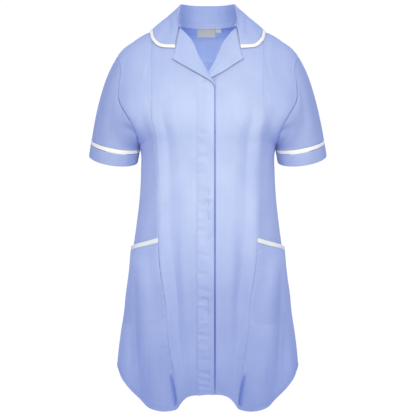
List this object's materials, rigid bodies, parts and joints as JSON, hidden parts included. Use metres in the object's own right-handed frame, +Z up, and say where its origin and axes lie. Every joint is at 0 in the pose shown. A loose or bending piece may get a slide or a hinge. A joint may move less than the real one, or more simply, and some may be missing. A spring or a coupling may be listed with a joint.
{
  "type": "maternity tunic",
  "caption": "Short-sleeved front-fastening maternity tunic, worn form: notched collar, concealed placket, princess seams, piped collar, cuffs and hip pockets",
  "frame": {"origin": "midway between the two shoulders, level with the shoulder seams near the collar, where the wearer holds the garment up", "axes": "+Z up from hem to collar, -Y out of the buttoned front, +X to the wearer's left"},
  "size_m": [0.4974, 0.3163, 0.8306],
  "materials": {
    "body_cloth": "sky blue woven polyester-cotton, plain weave, faint sheen",
    "piping": "flat white woven strip with a line of stitching",
    "label": "beige woven label, blank",
    "size_tab": "cream woven tab, blank"
  },
  "bodies": {
    "root": {"front_right": "body_cloth", "front_left": "body_cloth", "fly_placket": "body_cloth", "side_front_right": "body_cloth", "side_front_left": "body_cloth", "back": "body_cloth", "back_yoke": "body_cloth", "sleeve_right": "body_cloth", "sleeve_left": "body_cloth", "cuff_right": "body_cloth", "cuff_left": "body_cloth", "collar": "body_cloth", "lapel_right": "body_cloth", "lapel_left": "body_cloth", "pocket_right": "body_cloth", "pocket_left": "body_cloth", "collar_piping": "piping", "cuff_piping_right": "piping", "cuff_piping_left": "piping", "pocket_piping_right": "piping", "pocket_piping_left": "piping", "neck_label": "label", "size_tab": "size_tab"}
  },
  "joints": []
}
